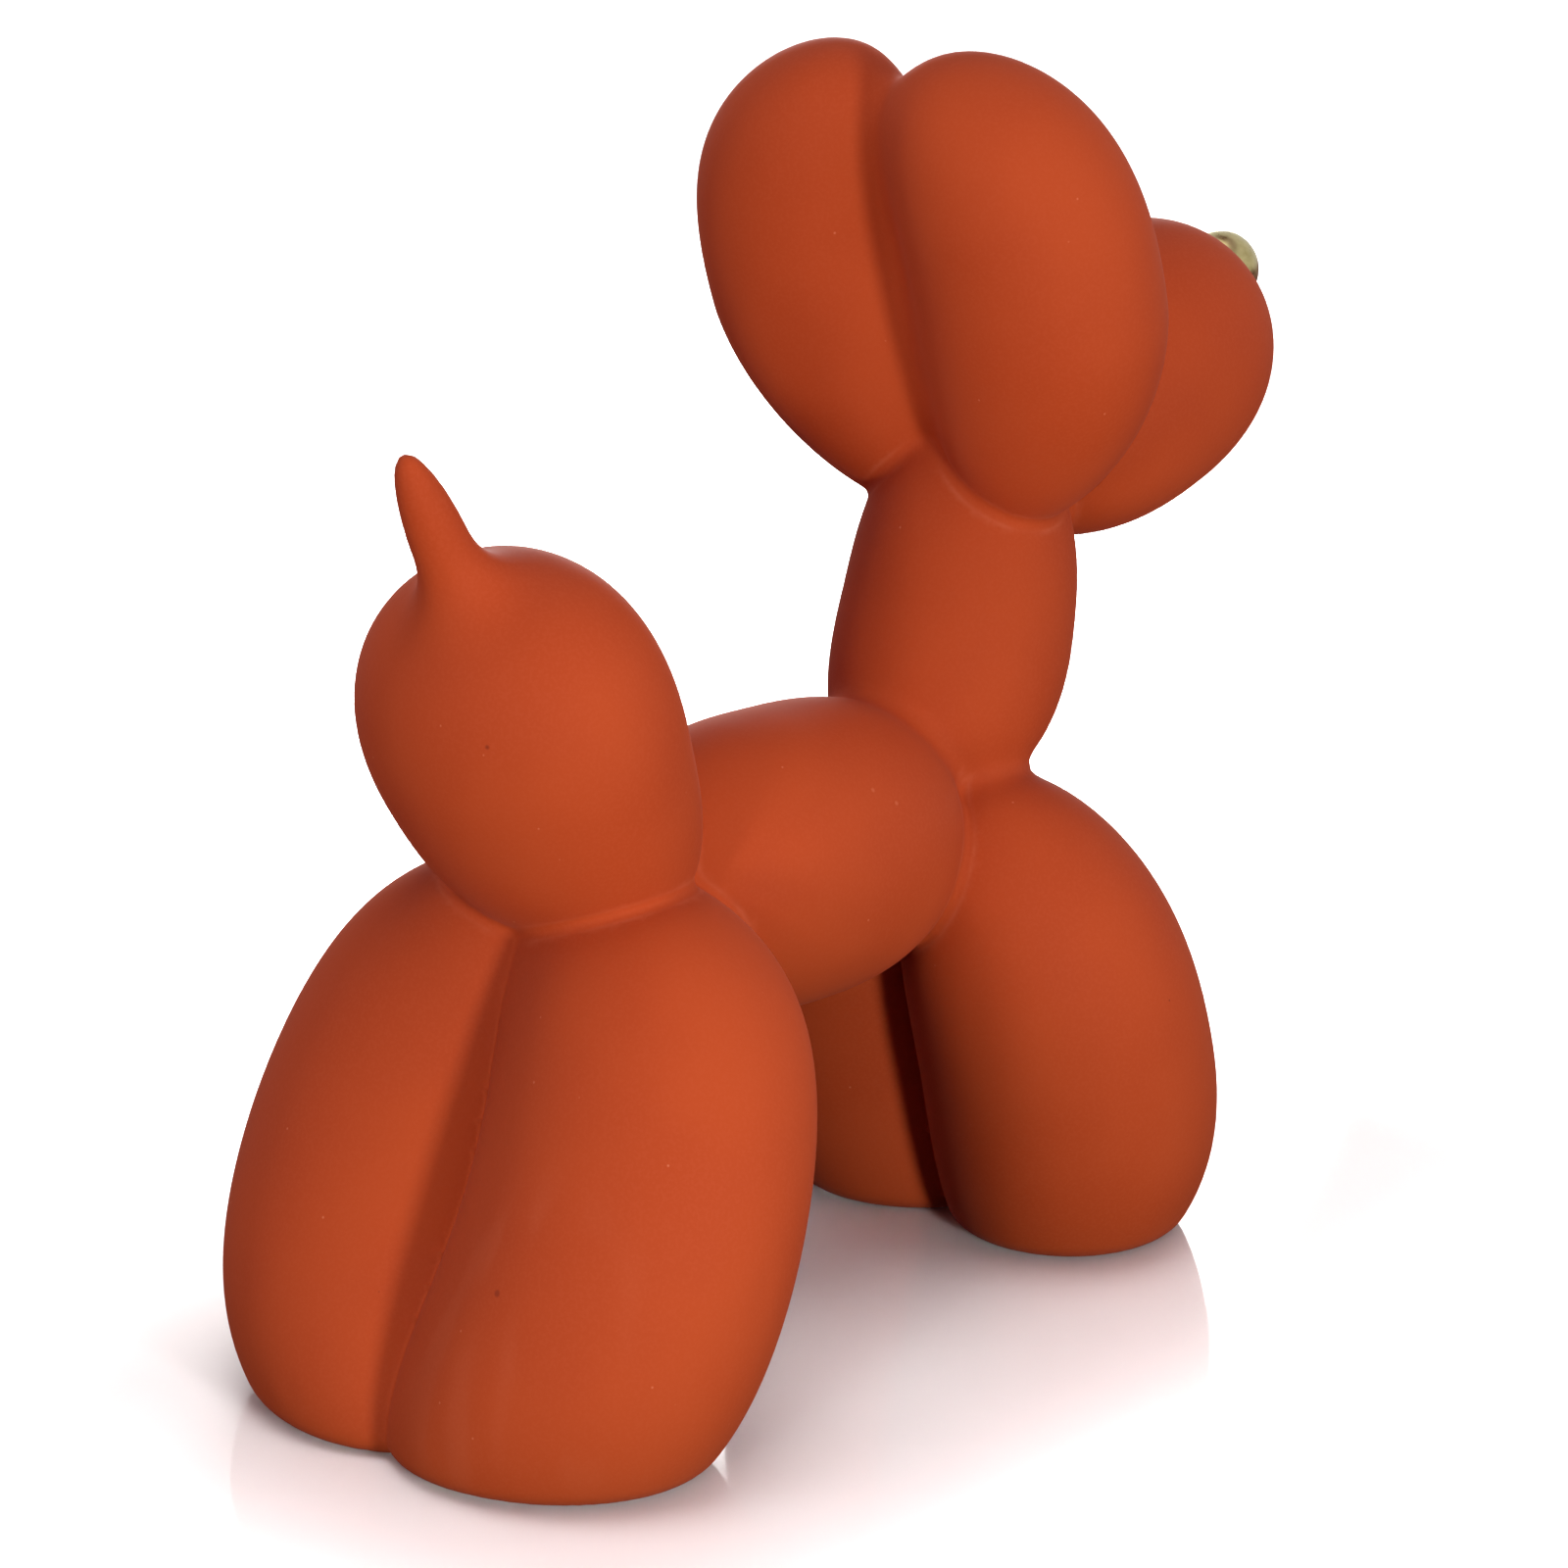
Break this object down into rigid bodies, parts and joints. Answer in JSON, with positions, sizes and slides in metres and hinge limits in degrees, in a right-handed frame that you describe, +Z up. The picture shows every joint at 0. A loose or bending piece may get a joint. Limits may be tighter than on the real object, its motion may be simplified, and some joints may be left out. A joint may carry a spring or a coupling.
{
  "type": "balloon dog figurine",
  "caption": "Standing figurine of a dog twisted from a balloon: one matte terracotta casting on four flat feet, with a small gold ball for a nose.",
  "frame": {"origin": "on the surface that the dog stands on, under the middle of its bounding box", "axes": "+Z up; the dog looks along -Y; its right side is towards -X; x = 0 is its plane of symmetry"},
  "size_m": [0.1274, 0.2704, 0.25],
  "materials": {
    "terracotta": "matte, powdery terracotta orange",
    "gold": "satin pale gold"
  },
  "bodies": {
    "root": {"dog": "terracotta", "nose": "gold"}
  },
  "joints": []
}
